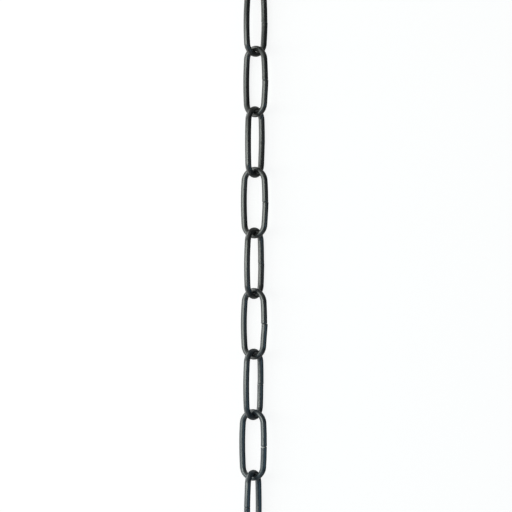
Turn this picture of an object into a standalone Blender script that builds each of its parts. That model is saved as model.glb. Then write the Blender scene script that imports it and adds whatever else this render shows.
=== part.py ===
"""Lamp chain, black, one 0.9 m retail length, lying straight on a level floor.

Every link is one bent wire: a long oval of four arcs, left open by a
hairline butt cut half way down one side.  Neighbouring links hook into each
other at right angles, so a straight run on a floor rests on its corners,
each link rolled about 45 degrees to one side or the other, with a little
twist along the length.

Units are metres.  The chain lies along Y, +Z is up, and the origin is on
the floor below the middle of the length.
"""
import math

import bmesh
import bpy
from mathutils import Matrix, Vector

# ---------------------------------------------------------------- dimensions
LINKS = 29                # links in the length
WIRE_D = 0.0030           # wire diameter, 11 gauge
BEND_THIN = 0.9333        # wire thickness across the end bends, over WIRE_D
LINK_LENGTH = 0.03665     # overall length of a link
LINK_WIDTH = 0.0158       # overall width of a link
END_RADIUS = 0.0060       # centreline radius of the end bends
PITCH = 0.0310            # link to link, pulled straight
CUT_GAP = 0.0004          # butt cut in the middle of one side
PIVOT_BACK = 0.0003       # a link swings about a line this far behind the wire's centre

LEAN = 45.0               # lean of every link from level, degrees, to one side or the other
# A handled chain keeps a little twist, in degrees at each link, which adds to
# the lean.  It comes and goes along the length, most at these links.
TWIST = {9: 3.0, 10: 7.0, 11: 12.0, 12: 9.0, 13: 0.5, 14: -1.5, 15: 1.0, 16: 3.5,
         17: 2.0, 18: -3.5, 19: -6.0, 20: -4.0, 21: -2.0}
TWIST_ELSEWHERE = 2.5     # it swings between plus and minus this at the others
HANG = 0.0008             # a link between two higher ones sinks this far below them at most
CUT_LEFT = (19,)          # links that lie with their cut on the -X side

WIRE_SIDES = 8            # flats round the wire
END_FLATS = 7             # straight lengths in an end bend
SIDE_FLATS = 3            # straight lengths in a side

HALF_WIDTH = (LINK_WIDTH - WIRE_D) / 2.0                   # centreline
HALF_LENGTH = (LINK_LENGTH - WIRE_D * BEND_THIN) / 2.0     # centreline
# The side arc's radius follows from touching both end arcs.
END_CENTRE = HALF_LENGTH - END_RADIUS
SIDE_RADIUS = ((HALF_WIDTH ** 2 + END_CENTRE ** 2 - END_RADIUS ** 2)
               / (2.0 * (HALF_WIDTH - END_RADIUS)))
SIDE_HALF_ANGLE = math.atan2(END_CENTRE, SIDE_RADIUS - HALF_WIDTH)


# ------------------------------------------------------------ the link's path
def tangent_lines():
    """Touching points and directions round the oval, from the cut, in order.

    Each is (point, direction, share of the way into an end bend).
    """
    lines = []

    def side(sign, first, last):
        step = 2.0 * SIDE_HALF_ANGLE / SIDE_FLATS
        middle = (SIDE_FLATS - 1) // 2
        for i in range(first, last + 1):
            t = (i - middle) * step * sign
            x = sign * (HALF_WIDTH - SIDE_RADIUS + SIDE_RADIUS * math.cos(t))
            y = sign * SIDE_RADIUS * math.sin(t) * sign
            lines.append((Vector((x, y, 0.0)),
                          Vector((-math.sin(t) * sign, math.cos(t), 0.0)) * sign, 0.0))

    def end(sign):
        half = math.pi / 2.0 - SIDE_HALF_ANGLE
        step = 2.0 * half / END_FLATS
        middle = (END_FLATS - 1) / 2.0
        for i in range(END_FLATS):
            t = (i - middle) * step
            x = -sign * END_RADIUS * math.sin(t)
            y = sign * (END_CENTRE + END_RADIUS * math.cos(t))
            lines.append((Vector((x, y, 0.0)),
                          Vector((-sign * math.cos(t), -sign * math.sin(t), 0.0)),
                          1.0 - abs(t) / half))

    middle = (SIDE_FLATS - 1) // 2
    side(1, middle, SIDE_FLATS - 1)       # from the cut up the +X side
    end(1)                                # over the +Y bend
    side(-1, 0, SIDE_FLATS - 1)           # down the -X side
    end(-1)                               # round the -Y bend
    side(1, 0, middle)                    # up the +X side to the cut
    return lines


def meet(p, d, q, e):
    """Where two lines of the plane cross."""
    cross = d.x * e.y - d.y * e.x
    s = ((q.x - p.x) * e.y - (q.y - p.y) * e.x) / cross
    return p + d * s


def link_rings():
    """Wire sections round the link: centre, outward direction, in-plane and
    normal half-thickness of the eight-sided wire."""
    lines = tangent_lines()
    apothem = WIRE_D / 2.0
    corner = apothem / math.cos(math.pi / WIRE_SIDES)
    stations = [(lines[0][0] + Vector((0.0, CUT_GAP / 2.0, 0.0)), lines[0][1], lines[0][1], 0.0)]
    for (p, d, u), (q, e, v) in zip(lines, lines[1:]):
        stations.append((meet(p, d, q, e), d, e, (u + v) / 2.0))
    stations.append((lines[-1][0] - Vector((0.0, CUT_GAP / 2.0, 0.0)), lines[-1][1], lines[-1][1], 0.0))
    rings = []
    for centre, d, e, share in stations:
        along = (d + e).normalized()
        outward = Vector((along.y, -along.x, 0.0))
        mitre = 1.0 / max(0.2, along.dot(d))
        # The wire is full size on the sides and thinner where it is bent.
        bent = min(1.0, max(0.0, share * 2.0))
        size = corner + (apothem - corner) * bent
        thick = size * (1.0 + (BEND_THIN - 1.0) * bent)
        rings.append((centre, outward, thick * mitre, size))
    return rings


def link_mesh():
    """One link, its plane in X-Y, its length along Y, cut on the +X side."""
    bm = bmesh.new()
    loops = []
    for centre, outward, thick, wide in link_rings():
        loop = []
        for k in range(WIRE_SIDES):
            t = (k + 0.5) * 2.0 * math.pi / WIRE_SIDES
            loop.append(bm.verts.new(centre + outward * (thick * math.cos(t))
                                     + Vector((0.0, 0.0, wide * math.sin(t)))))
        loops.append(loop)
    for a, b in zip(loops, loops[1:]):
        for k in range(WIRE_SIDES):
            n = (k + 1) % WIRE_SIDES
            bm.faces.new((a[k], a[n], b[n], b[k]))
    bm.faces.new(list(reversed(loops[0])))
    bm.faces.new(loops[-1])
    bmesh.ops.recalc_face_normals(bm, faces=bm.faces)
    mesh = bpy.data.meshes.new("lamp_chain_link")
    bm.to_mesh(mesh)
    bm.free()
    mesh.materials.append(None)
    return mesh


# -------------------------------------------------------------------- material
def black_finish(name, shade):
    mat = bpy.data.materials.new(name)
    mat.use_nodes = True
    bsdf = mat.node_tree.nodes["Principled BSDF"]
    bsdf.inputs["Base Color"].default_value = (shade, shade, shade * 0.98, 1.0)
    bsdf.inputs["Metallic"].default_value = 0.6
    bsdf.inputs["Roughness"].default_value = 0.38
    return mat


# -------------------------------------------------------------------- assembly
def roll_of(n):
    """Even links have their +X side up, odd links have it down."""
    twist = TWIST.get(n, TWIST_ELSEWHERE * math.sin((n - 4) * math.pi / 5.0))
    return math.radians((LEAN if n % 2 == 0 else -LEAN) + twist)


def rise(off):
    """How far the wire of an end bend has come back, this far off its middle."""
    return END_RADIUS - math.sqrt(END_RADIUS ** 2 - off ** 2)


def link_centres(mesh):
    """Centre of each link, counted from the +Y end.

    A link lies on the floor with its lower side, or hangs between its
    neighbours where they lie higher.  Where two bends cross off their middles
    the links come a little closer together.
    """
    floor = {}
    for n in range(1, LINKS + 1):
        spin = Matrix.Rotation(-roll_of(n), 4, "Y")
        floor[n] = -min((spin @ v.co).z for v in mesh.vertices)
    height = {}
    for n in range(1, LINKS + 1):
        beside = (floor.get(n - 1, floor[n]) + floor.get(n + 1, floor[n])) / 2.0
        height[n] = max(floor[n], beside - HANG)
    along = {1: 0.0}
    for n in range(1, LINKS):
        step = height[n + 1] - height[n]
        along[n + 1] = along[n] - (PITCH - rise(step * math.sin(roll_of(n)))
                                   - rise(step * math.sin(roll_of(n + 1))))
    middle = along[LINKS] / 2.0
    return {n: Vector((0.0, along[n] - middle, height[n])) for n in along}


def swing_frame(n, centres):
    """Frame whose X is the line that link n swings about: it runs along the
    wire of the link before, where link n crosses that link's lower bend."""
    if n == 1:
        return Matrix.Translation(centres[1])
    roll = roll_of(n - 1)
    off = (centres[n].z - centres[n - 1].z) * math.sin(roll)
    point = (centres[n - 1] + Vector((math.cos(roll), 0.0, math.sin(roll))) * off
             - Vector((0.0, HALF_LENGTH + PIVOT_BACK - rise(off), 0.0)))
    return Matrix.Translation(point) @ Matrix.Rotation(-roll, 4, "Y")


def build():
    for obj in list(bpy.data.objects):
        bpy.data.objects.remove(obj, do_unlink=True)
    collection = bpy.context.scene.collection
    mesh = link_mesh()
    centres = link_centres(mesh)
    parent, parent_world = None, Matrix.Identity(4)
    for n in range(1, LINKS + 1):
        # An empty on the swing line carries the link and all that hangs on it.
        world = swing_frame(n, centres)
        swing = bpy.data.objects.new("swing_%02d" % n, None)
        swing.empty_display_size = 0.004
        collection.objects.link(swing)
        swing.parent = parent
        swing.matrix_parent_inverse = parent_world.inverted()
        swing.matrix_basis = world

        link = bpy.data.objects.new("link_%02d" % n, mesh)
        collection.objects.link(link)
        link.parent = swing
        link.matrix_parent_inverse = world.inverted()
        turned = math.pi if n in CUT_LEFT else 0.0
        link.matrix_basis = (Matrix.Translation(centres[n])
                             @ Matrix.Rotation(turned - roll_of(n), 4, "Y"))
        link.material_slots[0].link = "OBJECT"
        link.material_slots[0].material = black_finish("black_%02d" % n, 0.022 + 0.003 * (n % 3))
        parent, parent_world = swing, world


build()
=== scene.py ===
import math

import bpy
import numpy as np
from mathutils import Matrix, Vector, noise


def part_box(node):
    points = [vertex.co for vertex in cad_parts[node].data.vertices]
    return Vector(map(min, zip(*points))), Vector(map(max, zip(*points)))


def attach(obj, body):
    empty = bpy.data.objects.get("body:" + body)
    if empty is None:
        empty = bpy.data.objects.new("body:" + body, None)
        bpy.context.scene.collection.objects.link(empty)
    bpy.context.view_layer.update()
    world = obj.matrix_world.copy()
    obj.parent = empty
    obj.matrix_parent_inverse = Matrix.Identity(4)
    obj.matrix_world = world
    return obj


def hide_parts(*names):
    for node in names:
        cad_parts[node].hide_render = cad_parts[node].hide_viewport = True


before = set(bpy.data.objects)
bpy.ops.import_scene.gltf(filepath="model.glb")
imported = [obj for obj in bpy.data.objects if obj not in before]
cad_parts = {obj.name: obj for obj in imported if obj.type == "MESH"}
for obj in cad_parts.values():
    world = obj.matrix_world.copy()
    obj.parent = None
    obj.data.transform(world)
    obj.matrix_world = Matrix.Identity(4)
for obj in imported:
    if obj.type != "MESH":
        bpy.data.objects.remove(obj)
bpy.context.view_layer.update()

# ------------------------------------------------------------ sizes, in metres
WIRE_R = 0.00154          # wire radius, with its finish
BEND_R = 0.00141          # half the wire's thickness across an end's free bend
PLAY = 0.000015           # left between two links where they bear on each other
HALF_WIDTH = 0.0064       # of the centreline
HALF_LENGTH = 0.016925    # of the centreline
END_RADIUS = 0.0060       # centreline radius of the end bends
CUT_GAP = 0.00004         # the hairline butt cut
SIDES = 30                # sides of the round wire

END_CENTRE = HALF_LENGTH - END_RADIUS
SIDE_RADIUS = ((HALF_WIDTH ** 2 + END_CENTRE ** 2 - END_RADIUS ** 2)
               / (2.0 * (HALF_WIDTH - END_RADIUS)))
SIDE_HALF_ANGLE = math.atan2(END_CENTRE, SIDE_RADIUS - HALF_WIDTH)


def smooth(t):
    t = min(1.0, max(0.0, t))
    return t * t * (3.0 - 2.0 * t)


# ------------------------------------------------------------------- the link
def path(cut_at):
    """Centreline of a link from cut to cut: (point, direction, bend share).

    The link lies in X-Y with its length along Y and its cut on the +X side.
    The bend share is 1 at the middle of an end bend and 0 along the sides.
    """
    out = []
    h = SIDE_HALF_ANGLE
    start = (cut_at + CUT_GAP / 2.0) / SIDE_RADIUS
    stop = (cut_at - CUT_GAP / 2.0) / SIDE_RADIUS

    def side(sign, a, b, n, last=False):
        for i in range(n + (1 if last else 0)):
            t = a + (b - a) * i / n
            out.append((sign * (HALF_WIDTH - SIDE_RADIUS + SIDE_RADIUS * math.cos(t)),
                        sign * SIDE_RADIUS * math.sin(t),
                        -sign * math.sin(t), sign * math.cos(t), 0.0))

    def end(sign, n):
        for i in range(n):
            t = h + (math.pi - 2.0 * h) * i / n
            off = abs(t - math.pi / 2.0) / (math.pi / 2.0 - h)
            out.append((sign * END_RADIUS * math.cos(t),
                        sign * (END_CENTRE + END_RADIUS * math.sin(t)),
                        -sign * math.sin(t), sign * math.cos(t), 1.0 - off))

    side(1, start, h, 18)
    end(1, 40)
    side(-1, -h, h, 34)
    end(-1, 40)
    side(1, -h, stop, 18, True)
    return out


def link_mesh(n, look):
    """The n-th link as a detailed mesh in its own frame.

    look holds what makes this link differ a little from the others.
    """
    rng = np.random.default_rng(1000 + n)
    phase = rng.uniform(0.0, 2.0 * math.pi, 8)
    stations = path(look["cut_at"])
    length = [0.0]
    for a, b in zip(stations, stations[1:]):
        length.append(length[-1] + math.hypot(b[0] - a[0], b[1] - a[1]))
    total = length[-1]

    verts, wire, rub, bare_steel_and_highlight = [], [], [], []
    rings = []                       # (station, back along the wire, shrink)

    def rim(i, lip, sign):
        """The rounding of the cut's rim, from the face towards the shaft."""
        return [(i, sign * lip * d, lip * s) for d, s in
                ((0.0, 1.0), (0.08, 0.62), (0.3, 0.3), (0.62, 0.08), (1.0, 0.0))]

    head = rim(0, look["head_lip"], 1.0)
    tail = rim(len(stations) - 1, look["tail_lip"], -1.0)[::-1]
    body = []
    for i in range(1, len(stations) - 1):
        if length[i] > look["head_lip"] * 1.5 and total - length[i] > look["tail_lip"] * 1.5:
            body.append((i, 0.0, 0.0))
    rings = head + body + tail

    def ring(i, shift, shrink):
        x, y, dx, dy, share = stations[i]
        s = length[i] + shift
        x, y = x + dx * shift, y + dy * shift
        out = Vector((dy, -dx, 0.0))
        bent = smooth(share * 1.9)
        bend_r, flat = look["upper" if y > 0.0 else "lower"]
        thick = WIRE_R + (bend_r - WIRE_R) * bent
        wide = WIRE_R * (1.0 + 0.01 * bent)
        # Inside, the bend is worn flat as far as the next link bears on it.
        inner = END_RADIUS - bend_r
        worn = 0.0
        if bent == 1.0 and abs(x) < flat:
            worn = (math.sqrt(inner ** 2 - (x * inner / END_RADIUS) ** 2)
                    - math.sqrt(inner ** 2 - (flat * inner / END_RADIUS) ** 2))
        from_cut = min(s, total - s)
        at_head = s < total / 2.0
        # The sheared ends are a little swollen, then rounded at the rim.
        swell = 0.030 * math.exp(-((from_cut - 0.0006) / 0.0006) ** 2)
        near = smooth(1.0 - from_cut / look["reach"])
        step = look["head" if at_head else "tail"]
        centre = Vector((x, y, 0.0)) + out * (step[0] * near) + Vector((0, 0, step[1] * near))
        # Hand-wound wire is never quite true between its bends.
        loose = 1.0 - bent
        u = 2.0 * math.pi * s / total
        centre += out * (0.00005 * loose * math.sin(2.0 * u + phase[0]))
        centre += Vector((0, 0, 0.00006 * loose * math.sin(2.0 * u + phase[1])))
        row = []
        for k in range(SIDES):
            t = 2.0 * math.pi * k / SIDES
            c, z = math.cos(t), math.sin(t)
            uneven = noise.noise(Vector((s * 420.0 + 13.7 * n, c * 1.3, z * 1.3))) * 0.000003
            uneven += noise.noise(Vector((s * 130.0 + 5.1 * n, c * 0.9, z * 0.9 + 40.0))) * 0.000010
            r1 = thick * (1.0 + swell) - shrink + uneven * loose + worn * smooth(-c)
            r2 = wide * (1.0 + swell) - shrink + uneven * loose
            p = centre + out * (r1 * c) + Vector((0, 0, r2 * z))
            slant = look["slant"] * WIRE_R * (c * math.cos(phase[2]) + z * math.sin(phase[2]))
            p += Vector((dx, dy, 0.0)) * (slant * smooth(1.0 - from_cut / 0.0012))
            row.append(len(verts))
            verts.append(p)
            wire.append((s * 1000.0 + 37.0 * n, c * 1.5, z * 1.5))
            inner = max(0.0, -c)
            rub.append(bent ** 2 * inner ** 2)
            # The upper rim shows a little bare steel all round; the lower rim shows bare steel with a
            # painted highlight, brightest on the side toward the key light.
            rim_steel_and_highlight = 0.06 if at_head else look["steel_and_highlight"] * max(0.12, math.cos(t - look["rim_steel_and_highlight"]))
            bare_steel_and_highlight.append(rim_steel_and_highlight if shrink > 0.000008 else 0.0)
        return row, centre, Vector((dx, dy, 0.0))

    rows = [ring(*r) for r in rings]
    faces = []
    for (a, _, _), (b, _, _) in zip(rows, rows[1:]):
        for k in range(SIDES):
            m = (k + 1) % SIDES
            faces.append((a[k], a[m], b[m], b[k]))
    # The cut faces: a slightly domed disc of two more rings and a middle point.
    for (row, centre, along), sign in ((rows[0], -1.0), (rows[-1], 1.0)):
        last, open_steel = row, (0.06 if sign < 0 else look["steel_and_highlight"])
        s = wire[row[0]][0]
        for share, rise in ((0.72, 0.00001), (0.36, 0.000015)):
            new = []
            for k in range(SIDES):
                p = verts[row[k]].lerp(sum((verts[j] for j in row), Vector()) / SIDES, 1.0 - share)
                new.append(len(verts))
                verts.append(p + along * (sign * rise))
                w = wire[row[k]]
                wire.append((s, w[1] * share, w[2] * share))
                rub.append(0.0)
                bare_steel_and_highlight.append(open_steel)
            for k in range(SIDES):
                m = (k + 1) % SIDES
                quad = (last[k], new[k], new[m], last[m])
                faces.append(quad if sign < 0 else tuple(reversed(quad)))
            last = new
        tip = len(verts)
        verts.append(sum((verts[j] for j in last), Vector()) / SIDES + along * (sign * 0.000003))
        wire.append((s, 0.0, 0.0))
        rub.append(0.0)
        bare_steel_and_highlight.append(open_steel)
        for k in range(SIDES):
            m = (k + 1) % SIDES
            tri = (last[k], tip, last[m])
            faces.append(tri if sign < 0 else tuple(reversed(tri)))

    mesh = bpy.data.meshes.new("wire_%02d" % n)
    mesh.from_pydata([tuple(v) for v in verts], [], [tuple(reversed(f)) for f in faces])
    mesh.attributes.new("wire", "FLOAT_VECTOR", "POINT").data.foreach_set(
        "vector", np.array(wire, np.float32).ravel())
    mesh.attributes.new("rub", "FLOAT", "POINT").data.foreach_set("value", np.array(rub, np.float32))
    # Bare steel at the cuts, with the painted highlight on the lower rim.
    mesh.attributes.new("bare_steel_and_highlight", "FLOAT", "POINT").data.foreach_set("value", np.array(bare_steel_and_highlight, np.float32))
    # Painted cool light: this link's blue tint for the base colour.
    mesh.attributes.new("painted_cool_light", "FLOAT", "POINT").data.foreach_set(
        "value", np.full(len(verts), look["painted_cool_light"], np.float32))
    mesh.update()
    mesh.shade_smooth()
    return mesh


def frame_of(node):
    """Where a link lies, read from its CAD node: centre, cut side, length, normal."""
    lo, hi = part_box(node)
    co = np.array([v.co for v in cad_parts[node].data.vertices], float)
    centre = (np.array(lo) + np.array(hi)) / 2.0
    _, _, axes = np.linalg.svd(co - co.mean(0), full_matrices=False)
    y = Vector(axes[0]) * (1.0 if axes[0][1] > 0 else -1.0)
    x = Vector(axes[1]) * (1.0 if axes[1][0] > 0 else -1.0)
    # The axes of a link are clean by design: its length along Y, its width in X-Z.
    x = Vector((x.x, 0.0, x.z)).normalized()
    y = Vector((0.0, 1.0, 0.0))
    # Only the cut side has corners at half the length.
    cut = co[np.abs(co[:, 1] - centre[1]) < 0.0008]
    if len(cut) and (cut.mean(0) - centre) @ np.array(x) < 0.0:
        x = -x
    return Vector(centre), x, y, x.cross(y)


# -------------------------------------------------------------------- material
def node(tree, kind, **settings):
    made = tree.nodes.new(kind)
    for key, value in settings.items():
        if key.startswith("in_"):
            name = key[3:]
            made.inputs[int(name) if name.isdigit() else name].default_value = value
        else:
            setattr(made, key, value)
    return made


def black_wire():
    mat = bpy.data.materials.new("black_wire_finish")
    mat.use_nodes = True
    tree = mat.node_tree
    link = tree.links.new
    bsdf = tree.nodes["Principled BSDF"]

    wire = node(tree, "ShaderNodeAttribute", attribute_name="wire")
    rub = node(tree, "ShaderNodeAttribute", attribute_name="rub")
    bare_steel_and_highlight = node(tree, "ShaderNodeAttribute", attribute_name="bare_steel_and_highlight")

    # Draw lines run along the wire.
    stretch = node(tree, "ShaderNodeVectorMath", operation="MULTIPLY")
    stretch.inputs[1].default_value = (0.10, 3.6, 3.6)
    link(wire.outputs["Vector"], stretch.inputs[0])
    lines = node(tree, "ShaderNodeTexNoise")
    lines.inputs["Scale"].default_value = 1.0
    lines.inputs["Detail"].default_value = 4.0
    lines.inputs["Roughness"].default_value = 0.6
    link(stretch.outputs[0], lines.inputs["Vector"])

    # The coating is slightly thicker and thinner in cloudy patches.
    clouds = node(tree, "ShaderNodeTexNoise")
    clouds.inputs["Scale"].default_value = 0.35
    clouds.inputs["Detail"].default_value = 3.0
    link(wire.outputs["Vector"], clouds.inputs["Vector"])

    # Fine orange peel.
    peel = node(tree, "ShaderNodeTexNoise")
    peel.inputs["Scale"].default_value = 5.0
    peel.inputs["Detail"].default_value = 2.0
    link(wire.outputs["Vector"], peel.inputs["Vector"])

    # Sparse small nicks where links have knocked together.
    nicks = node(tree, "ShaderNodeTexVoronoi", feature="DISTANCE_TO_EDGE")
    nicks.inputs["Scale"].default_value = 0.55
    link(wire.outputs["Vector"], nicks.inputs["Vector"])
    nick_mask = node(tree, "ShaderNodeMapRange")
    nick_mask.inputs["From Min"].default_value = 0.0
    nick_mask.inputs["From Max"].default_value = 0.03
    nick_mask.inputs["To Min"].default_value = 1.0
    nick_mask.inputs["To Max"].default_value = 0.0
    link(nicks.outputs["Distance"], nick_mask.inputs["Value"])
    nick_gate = node(tree, "ShaderNodeMapRange")
    nick_gate.inputs["From Min"].default_value = 0.60
    nick_gate.inputs["From Max"].default_value = 0.72
    link(clouds.outputs["Fac"], nick_gate.inputs["Value"])
    nick = node(tree, "ShaderNodeMath", operation="MULTIPLY")
    link(nick_mask.outputs["Result"], nick.inputs[0])
    link(nick_gate.outputs["Result"], nick.inputs[1])

    tone = node(tree, "ShaderNodeValToRGB")
    tone.color_ramp.elements[0].position = 0.30
    tone.color_ramp.elements[0].color = (0.007, 0.007, 0.007, 1.0)
    tone.color_ramp.elements[1].position = 0.72
    tone.color_ramp.elements[1].color = (0.016, 0.017, 0.017, 1.0)
    link(clouds.outputs["Fac"], tone.inputs["Fac"])
    # Painted cool light: a per-link blue tint mixed into the base colour stands in for bluish light on
    # the lower links.
    painted_cool_light = node(tree, "ShaderNodeAttribute", attribute_name="painted_cool_light")
    painted_cool_gain = node(tree, "ShaderNodeMath", operation="MULTIPLY")
    painted_cool_gain.inputs[1].default_value = 0.9
    link(painted_cool_light.outputs["Fac"], painted_cool_gain.inputs[0])
    painted_cool_mix = node(tree, "ShaderNodeMix", data_type="RGBA", blend_type="MIX")
    painted_cool_mix.inputs["B"].default_value = (0.014, 0.025, 0.034, 1.0)
    link(painted_cool_gain.outputs[0], painted_cool_mix.inputs["Factor"])
    link(tone.outputs["Color"], painted_cool_mix.inputs["A"])

    worn = node(tree, "ShaderNodeMix", data_type="RGBA", blend_type="MIX")
    worn.inputs["B"].default_value = (0.085, 0.083, 0.080, 1.0)
    rub_gain = node(tree, "ShaderNodeMath", operation="MULTIPLY")
    rub_gain.inputs[1].default_value = 0.55
    link(rub.outputs["Fac"], rub_gain.inputs[0])
    wear = node(tree, "ShaderNodeMath", operation="MAXIMUM")
    link(rub_gain.outputs[0], wear.inputs[0])
    nick_soft = node(tree, "ShaderNodeMath", operation="MULTIPLY")
    nick_soft.inputs[1].default_value = 0.35
    link(nick.outputs[0], nick_soft.inputs[0])
    link(nick_soft.outputs[0], wear.inputs[1])
    link(wear.outputs[0], worn.inputs["Factor"])
    link(painted_cool_mix.outputs["Result"], worn.inputs["A"])

    # Bare steel at the cuts and rims, with the painted highlight on the lower rims, mixed into the base
    # colour as light grey.
    steel_and_highlight = node(tree, "ShaderNodeMix", data_type="RGBA", blend_type="MIX")
    steel_and_highlight.inputs["B"].default_value = (0.58, 0.59, 0.59, 1.0)
    link(bare_steel_and_highlight.outputs["Fac"], steel_and_highlight.inputs["Factor"])
    link(worn.outputs["Result"], steel_and_highlight.inputs["A"])
    link(steel_and_highlight.outputs["Result"], bsdf.inputs["Base Color"])

    rough = node(tree, "ShaderNodeMapRange")
    rough.inputs["From Min"].default_value = 0.25
    rough.inputs["From Max"].default_value = 0.75
    rough.inputs["To Min"].default_value = 0.25
    rough.inputs["To Max"].default_value = 0.33
    link(lines.outputs["Fac"], rough.inputs["Value"])
    link(rough.outputs["Result"], bsdf.inputs["Roughness"])

    bump1 = node(tree, "ShaderNodeBump")
    bump1.inputs["Strength"].default_value = 0.18
    bump1.inputs["Distance"].default_value = 0.00002
    link(lines.outputs["Fac"], bump1.inputs["Height"])
    bump2 = node(tree, "ShaderNodeBump")
    bump2.inputs["Strength"].default_value = 0.15
    bump2.inputs["Distance"].default_value = 0.00001
    link(peel.outputs["Fac"], bump2.inputs["Height"])
    link(bump1.outputs["Normal"], bump2.inputs["Normal"])
    link(bump2.outputs["Normal"], bsdf.inputs["Normal"])

    bsdf.inputs["Metallic"].default_value = 0.0
    bsdf.inputs["IOR"].default_value = 1.5
    bsdf.inputs["Specular IOR Level"].default_value = 1.0
    return mat


wire_finish = black_wire()

# ------------------------------------------------------------------- the chain
# What each cut looks like, in mm: where it is along the side, how far its lower
# end stands out of line, outwards across the oval and along its normal, the
# rounding of its upper and lower rim, and how much bare steel the lower rim
# shows, from 0 to 1, painted as a highlight brightest on the side toward the
# key light.  The others get seeded values.
CUTS = {11: (-0.4, 0.06, 0.05, 0.12, 0.14, 0.05), 12: (0.7, 0.24, 0.06, 0.25, 0.17, 0.20),
        13: (0.0, 0.00, 0.00, 0.02, 0.03, 0.00), 14: (0.3, 0.16, 0.04, 0.26, 0.20, 0.20),
        15: (0.0, 0.05, 0.02, 0.06, 0.10, 0.15), 16: (0.1, 0.28, -0.06, 0.36, 0.26, 0.15),
        17: (0.0, -0.20, 0.06, 0.04, 0.18, 0.70), 18: (-0.6, 0.02, 0.12, 0.22, 0.60, 1.00),
        19: (-0.8, -0.04, 0.04, 0.26, 0.24, 0.10)}
# Painted cool light: a blue tint in the base colour, most on links 17 to 22,
# stands in for the bluish light on the lower links; the other links get a small seeded tint.
PAINTED_COOL_LIGHT = {11: 0.0, 12: 0.0, 13: 0.0, 14: 0.05, 15: 0.05, 16: 0.25, 17: 0.65, 18: 1.0, 19: 1.0,
        20: 0.9, 21: 0.7, 22: 0.5}


def bearing(upper_link, lower_link):
    """Where two hooked links bear on each other: the half-thickness that fits
    both bends, and how far from its middle each bend is worn."""
    off = np.linspace(-0.0021, 0.0021, 211)
    drop = END_CENTRE + np.sqrt(END_RADIUS ** 2 - off ** 2)
    bends = []
    for (c, x, y, _), sign in ((upper_link, -1.0), (lower_link, 1.0)):
        bends.append(np.array(c) + np.outer(off, np.array(x)) + np.outer(sign * drop, np.array(y)))
    apart = np.linalg.norm(bends[0][:, None, :] - bends[1][None, :, :], axis=2)
    a, b = np.unravel_index(int(apart.argmin()), apart.shape)
    half = (float(apart[a, b]) - PLAY) / 2.0
    return min(0.00145, max(0.00134, half)), 0.85 * abs(float(off[a])), 0.85 * abs(float(off[b]))


names = sorted(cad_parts)
frames = [frame_of(name) for name in names]
bearings = [bearing(p, q) for p, q in zip(frames, frames[1:])]
for name in names:
    n = int(name.split("_")[1])
    rng = np.random.default_rng(77 + n)
    mm = 0.001
    cut = CUTS.get(n, (rng.uniform(-0.7, 0.7), rng.uniform(-0.12, 0.18), rng.uniform(-0.08, 0.08),
                       rng.uniform(0.05, 0.2), rng.uniform(0.08, 0.25), rng.uniform(0.0, 0.8) ** 2))
    centre, x, y, z = frames[n - 1]
    # Towards the key light, low on the left: the side where the painted rim highlight lies.
    left = Vector((-0.9, 0.0, 0.45))
    above = bearings[n - 2] if n > 1 else (BEND_R, 0.0, 0.0)
    below = bearings[n - 1] if n < len(names) else (BEND_R, 0.0, 0.0)
    look = {
        "upper": (above[0], above[2]),
        "lower": (below[0], below[1]),
        "reach": 0.0085,
        "cut_at": cut[0] * mm,
        "head_lip": cut[3] * mm,
        "tail_lip": cut[4] * mm,
        "head": (rng.uniform(-0.02, 0.02) * mm, rng.uniform(-0.03, 0.03) * mm),
        "tail": (cut[1] * mm, cut[2] * mm),
        "slant": rng.uniform(-0.03, 0.03),
        # Bare steel and the painted highlight on the lower rim, and the side that highlight faces.
        "steel_and_highlight": cut[5],
        "rim_steel_and_highlight": math.atan2(left.dot(z), left.dot(x)),
        # This link's painted cool light tint.
        "painted_cool_light": PAINTED_COOL_LIGHT.get(n, rng.uniform(0.0, 0.35)),
    }
    mesh = link_mesh(n, look)
    mesh.materials.append(wire_finish)
    piece = bpy.data.objects.new("wire_link_%02d" % n, mesh)
    bpy.context.scene.collection.objects.link(piece)
    mesh.transform(Matrix((
        (x.x, y.x, z.x, centre.x),
        (x.y, y.y, z.y, centre.y),
        (x.z, y.z, z.z, centre.z),
        (0.0, 0.0, 0.0, 1.0))))
    # The wire is a hair flat where it would reach through the floor.
    for v in mesh.vertices:
        if v.co.z < 0.00003:
            v.co.z = 0.00003 - 0.1 * (0.00003 - v.co.z)
    mesh.update()
    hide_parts(name)
    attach(piece, name)

# ----------------------------------------------------------------------- stage
floor_mesh = bpy.data.meshes.new("floor")
floor_mesh.from_pydata([(-4, -4, 0), (4, -4, 0), (4, 4, 0), (-4, 4, 0)], [], [(0, 1, 2, 3)])
floor = bpy.data.objects.new("floor", floor_mesh)
bpy.context.scene.collection.objects.link(floor)
floor.location.z = -0.00003
floor_mat = bpy.data.materials.new("pale_floor")
floor_mat.use_nodes = True
floor_bsdf = floor_mat.node_tree.nodes["Principled BSDF"]
floor_bsdf.inputs["Base Color"].default_value = (0.25, 0.25, 0.25, 1.0)
floor_bsdf.inputs["Roughness"].default_value = 0.9
floor_bsdf.inputs["Specular IOR Level"].default_value = 0.1
floor_bsdf.inputs["Emission Color"].default_value = (1.0, 1.0, 1.0, 1.0)
floor_bsdf.inputs["Emission Strength"].default_value = 0.86
floor_mesh.materials.append(floor_mat)
# The dark wires mirror the studio around them and not the white floor.
floor.visible_glossy = False

# A dim studio, lit low on the left, and pale where it is seen past the floor's edge.
world = bpy.data.worlds.new("studio")
bpy.context.scene.world = world
world.use_nodes = True
wt = world.node_tree
where = node(wt, "ShaderNodeTexCoord")
apart = node(wt, "ShaderNodeSeparateXYZ")
wt.links.new(where.outputs["Generated"], apart.inputs[0])


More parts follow.
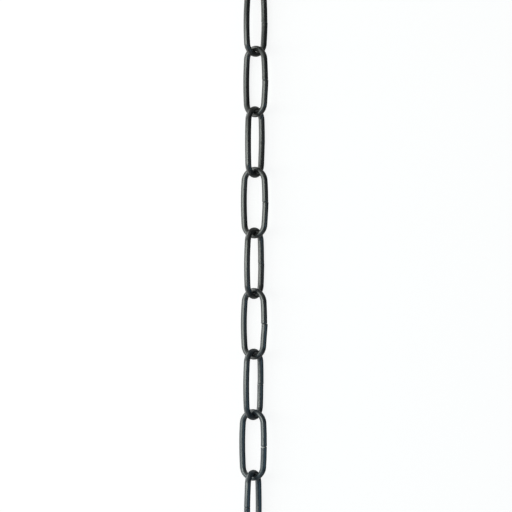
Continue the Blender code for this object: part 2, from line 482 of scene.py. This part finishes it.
def ramp(socket, a, b, low_value, high_value):
    """A soft step from low_value, at a, to high_value, at b."""
    made = node(wt, "ShaderNodeMapRange", interpolation_type="SMOOTHSTEP")
    for key, value in (("From Min", a), ("From Max", b), ("To Min", low_value), ("To Max", high_value)):
        made.inputs[key].default_value = value
    wt.links.new(socket, made.inputs["Value"])
    return made.outputs["Result"]


def combine(operation, *sockets):
    made = node(wt, "ShaderNodeMath", operation=operation)
    for i, socket in enumerate(sockets):
        if isinstance(socket, float):
            made.inputs[i].default_value = socket
        else:
            wt.links.new(socket, made.inputs[i])
    return made.outputs[0]


east, north, high = (apart.outputs[axis] for axis in "XYZ")
left_low = combine("MULTIPLY", ramp(east, -0.25, -0.70, 0.0, 1.3), ramp(high, 0.12, 0.0, 0.0, 1.0))
left_low = combine("MULTIPLY", left_low, ramp(north, 0.22, 0.50, 1.0, 2.0))
# Below the horizon, off the chain's ends, the wires' bends mirror a grey floor.
ends_low = combine("MULTIPLY", ramp(combine("ABSOLUTE", north), 0.18, 0.42, 0.0, 0.32),
                   ramp(high, 0.15, -0.05, 0.0, 1.0))
lit = combine("ADD", combine("ADD", left_low, ends_low), 0.03)
back = wt.nodes["Background"]
back.inputs["Color"].default_value = (0.97, 1.0, 0.96, 1.0)
wt.links.new(lit, back.inputs["Strength"])
pale = wt.nodes.new("ShaderNodeBackground")
pale.inputs["Color"].default_value = (1.0, 1.0, 1.0, 1.0)
pale.inputs["Strength"].default_value = 0.9
seen = wt.nodes.new("ShaderNodeLightPath")
either = wt.nodes.new("ShaderNodeMixShader")
wt.links.new(seen.outputs["Is Camera Ray"], either.inputs[0])
wt.links.new(back.outputs[0], either.inputs[1])
wt.links.new(pale.outputs[0], either.inputs[2])
wt.links.new(either.outputs[0], wt.nodes["World Output"].inputs["Surface"])


def softbox(name, direction, distance, size, radiance, colour=(1.0, 1.0, 1.0), target=(0.0, 0.0, 0.006)):
    """A rectangular light that faces the target; size is across and along Y."""
    data = bpy.data.lights.new(name, "AREA")
    data.shape = "RECTANGLE"
    data.size, data.size_y = size
    data.energy = radiance * math.pi * size[0] * size[1]
    data.color = colour
    lamp = bpy.data.objects.new(name, data)
    bpy.context.scene.collection.objects.link(lamp)
    d = Vector(direction).normalized()
    across = Vector((0.0, 1.0, 0.0)).cross(d).normalized()
    along = d.cross(across)
    lamp.matrix_world = Matrix((
        (across.x, along.x, d.x, target[0] + d.x * distance),
        (across.y, along.y, d.y, target[1] + d.y * distance),
        (across.z, along.z, d.z, target[2] + d.z * distance),
        (0.0, 0.0, 0.0, 1.0)))
    return lamp


def towards(angle):
    """A direction in X-Z, as degrees from straight up, + to the right."""
    a = math.radians(angle)
    return (math.sin(a), 0.0, math.cos(a))


# The key is low on the left: a long dim box and a brighter short one over its
# middle.  Its right edge sets where the light ends on the wires.
softbox("key_long", towards(-56), 0.85, (0.98, 1.3), 0.95, (0.91, 1.0, 0.94), (0.0, 0.55, 0.006))
softbox("key_short", towards(-56), 0.80, (0.92, 0.25), 4.6, (0.95, 1.0, 0.93), (0.0, -0.0015, 0.006))
softbox("key_cool", towards(-56), 0.85, (0.98, 0.9), 0.69, (0.70, 0.91, 1.0), (0.0, -0.55, 0.006))
# Fills on the right, for the dark half of the wires: cooler further down.
softbox("fill", towards(36), 0.90, (1.3, 0.20), 0.27, (1.0, 0.94, 0.92), (0.0, 0.0, 0.006))
softbox("fill_cool", towards(36), 0.95, (1.3, 0.24), 0.96, (0.42, 0.76, 1.0), (0.0, -0.225, 0.006))
# Two dim boxes off the chain's ends.
softbox("end_far", (0.0, 0.78, 0.62), 1.5, (1.2, 1.2), 0.40, (1.0, 0.97, 0.93))
softbox("end_near", (0.0, -0.78, 0.62), 1.5, (1.2, 1.2), 0.40, (0.80, 0.90, 1.0))

# ---------------------------------------------------------------------- camera
VIEW_TILT = math.radians(12.0)      # the links show at 33 and 57 degrees
VIEW_ROLL = math.radians(0.33)      # the chain leans a little to the right
MM_PER_PX = 0.5116
DISTANCE = 2.0
right = Vector((math.cos(VIEW_TILT), 0.0, math.sin(VIEW_TILT)))
up = Vector((0.0, 1.0, 0.0))
back_dir = right.cross(up)
r_img = right * math.cos(VIEW_ROLL) + up * math.sin(VIEW_ROLL)
u_img = up * math.cos(VIEW_ROLL) - right * math.sin(VIEW_ROLL)
# The middle of link_15 is 7.3 px below and 1.8 px left of the picture's middle.
aim = Vector((0.0, 0.0, 0.006)) + (r_img * 1.8 + u_img * 7.3) * (MM_PER_PX / 1000.0)
place = aim + back_dir * DISTANCE
camera_data = bpy.data.cameras.new("camera")
camera_data.sensor_width = 36.0
camera_data.lens = 36.0 * DISTANCE / (512 * MM_PER_PX / 1000.0)
camera_data.clip_start = 0.01
camera_data.clip_end = 50.0
camera = bpy.data.objects.new("camera", camera_data)
bpy.context.scene.collection.objects.link(camera)
camera.matrix_world = Matrix((
    (r_img.x, u_img.x, back_dir.x, place.x),
    (r_img.y, u_img.y, back_dir.y, place.y),
    (r_img.z, u_img.z, back_dir.z, place.z),
    (0.0, 0.0, 0.0, 1.0)))
bpy.context.scene.camera = camera
bpy.context.scene.view_settings.view_transform = "Standard"
